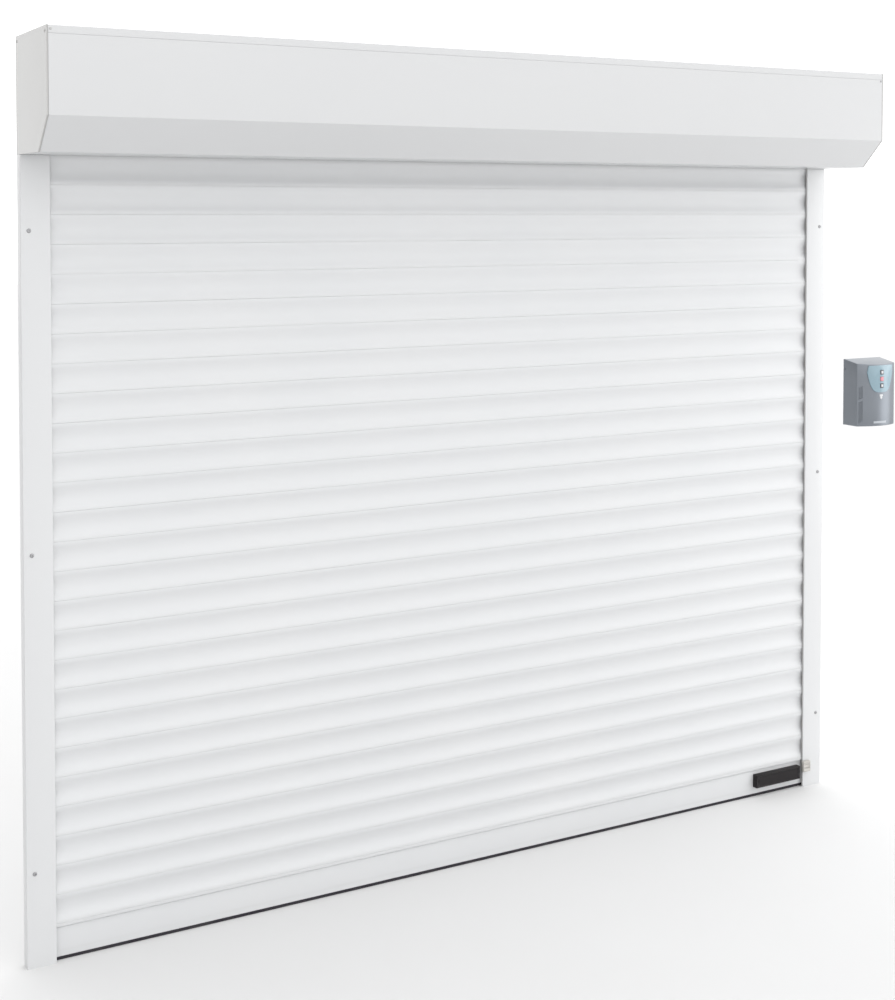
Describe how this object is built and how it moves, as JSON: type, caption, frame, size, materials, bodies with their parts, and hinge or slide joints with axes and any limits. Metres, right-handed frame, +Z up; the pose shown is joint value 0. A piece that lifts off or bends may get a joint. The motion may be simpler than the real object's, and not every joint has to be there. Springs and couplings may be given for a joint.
{
  "type": "motorised roller shutter",
  "caption": "Roller garage shutter with a tubular motor inside its hood, slatted curtain, side guides, edge transmitter and a push button wall control.",
  "frame": {"origin": "centre of the hood's rear face, at the height of the roller's axis, in the plane of the wall", "axes": "+X to the right seen from the room, along the roller; -Y out into the room, +Y into the wall; +Z up"},
  "size_m": [2.99, 0.3, 2.4],
  "materials": {
    "white_coating": "satin",
    "white_plastic": "gloss",
    "black_rubber": "matte",
    "dark_plastic": "matte",
    "grey_plastic": "satin",
    "blue_plastic": "satin",
    "red_plastic": "satin",
    "brown_plastic": "matte",
    "green_board": "satin",
    "copper_winding": "satin",
    "bare_steel": "satin",
    "zinc_steel": "satin"
  },
  "bodies": {
    "frame": {"hood_top_cover": "white_coating", "hood_front_cover": "white_coating", "end_plate_left": "white_plastic", "end_plate_right": "white_plastic", "guide_left": "white_coating", "guide_right": "white_coating", "guide_screw_left_1": "zinc_steel", "guide_screw_left_2": "zinc_steel", "guide_screw_left_3": "zinc_steel", "guide_screw_right_1": "zinc_steel", "guide_screw_right_2": "zinc_steel", "guide_screw_right_3": "zinc_steel", "inlet_funnel_left": "dark_plastic", "inlet_funnel_right": "dark_plastic", "idler_bracket": "zinc_steel", "idler_bearing": "bare_steel", "motor_bracket": "zinc_steel", "motor_head": "white_plastic", "motor_tube": "zinc_steel", "motor_stator": "copper_winding", "brake_coil": "copper_winding", "ring_gear": "bare_steel", "guide_sensor_block": "brown_plastic", "control_back_plate": "dark_plastic", "control_cover": "grey_plastic", "keypad_panel": "blue_plastic", "control_board": "green_board", "cable_gland": "dark_plastic"},
    "curtain": {"slats_01_02": "white_coating", "slats_03_04": "white_coating", "slats_05_06": "white_coating", "slats_07_08": "white_coating", "slats_09_10": "white_coating", "slats_11_12": "white_coating", "slats_13_14": "white_coating", "slats_15_16": "white_coating", "slats_17_18": "white_coating", "slats_19_20": "white_coating", "slats_21_22": "white_coating", "slats_23_24": "white_coating", "slats_25_26": "white_coating", "bottom_bar": "white_coating", "bottom_seal": "black_rubber", "edge_transmitter_case": "dark_plastic", "edge_transmitter_lid": "dark_plastic", "hanger_strap_1": "bare_steel", "hanger_strap_2": "bare_steel", "hanger_strap_3": "bare_steel"},
    "roller": {"roller_tube": "zinc_steel", "idler_cap": "dark_plastic", "limit_crown": "dark_plastic", "drive_wheel": "dark_plastic", "planet_carrier": "bare_steel"},
    "planet_1": {"planet_gear_1": "bare_steel"},
    "planet_2": {"planet_gear_2": "bare_steel"},
    "planet_3": {"planet_gear_3": "bare_steel"},
    "rotor": {"motor_rotor": "zinc_steel"},
    "button_up": {"button_up": "white_plastic"},
    "button_stop": {"button_stop": "red_plastic"},
    "button_down": {"button_down": "white_plastic"}
  },
  "joints": [
    {"name": "curtain_lift", "type": "slide", "parent": "frame", "child": "curtain", "axis": [0, 0, 1], "range_m": [0, 0.27], "deforming": ["hanger_strap_1", "hanger_strap_2", "hanger_strap_3"]},
    {"name": "roller_turn", "type": "hinge", "parent": "frame", "child": "roller", "pos_m": [0, -0.15, 0], "axis": [1, 0, 0], "range_deg": [0, 290]},
    {"name": "rotor_spin", "type": "hinge", "parent": "frame", "child": "rotor", "pos_m": [0.9, -0.15, 0], "axis": [1, 0, 0], "range_deg": [0, 1720]},
    {"name": "planet_1_spin", "type": "hinge", "parent": "roller", "child": "planet_1", "pos_m": [0.828, -0.13583, 0], "axis": [1, 0, 0], "range_deg": [-720, 0]},
    {"name": "planet_2_spin", "type": "hinge", "parent": "roller", "child": "planet_2", "pos_m": [0.828, -0.15709, 0.01228], "axis": [1, 0, 0], "range_deg": [-720, 0]},
    {"name": "planet_3_spin", "type": "hinge", "parent": "roller", "child": "planet_3", "pos_m": [0.828, -0.15709, -0.01228], "axis": [1, 0, 0], "range_deg": [-720, 0]},
    {"name": "button_up_press", "type": "slide", "parent": "frame", "child": "button_up", "axis": [0, 1, 0], "range_m": [0, 0.0015], "stiffness_N_per_m": 300},
    {"name": "button_stop_press", "type": "slide", "parent": "frame", "child": "button_stop", "axis": [0, 1, 0], "range_m": [0, 0.0015], "stiffness_N_per_m": 300},
    {"name": "button_down_press", "type": "slide", "parent": "frame", "child": "button_down", "axis": [0, 1, 0], "range_m": [0, 0.0015], "stiffness_N_per_m": 300}
  ],
  "couplings": [
    {"joint": "roller_turn", "follows": "curtain_lift", "rad_per_m": 18.4},
    {"joint": "rotor_spin", "follows": "curtain_lift", "rad_per_m": 110.4},
    {"joint": "planet_1_spin", "follows": "curtain_lift", "rad_per_m": -46},
    {"joint": "planet_2_spin", "follows": "curtain_lift", "rad_per_m": -46},
    {"joint": "planet_3_spin", "follows": "curtain_lift", "rad_per_m": -46}
  ]
}
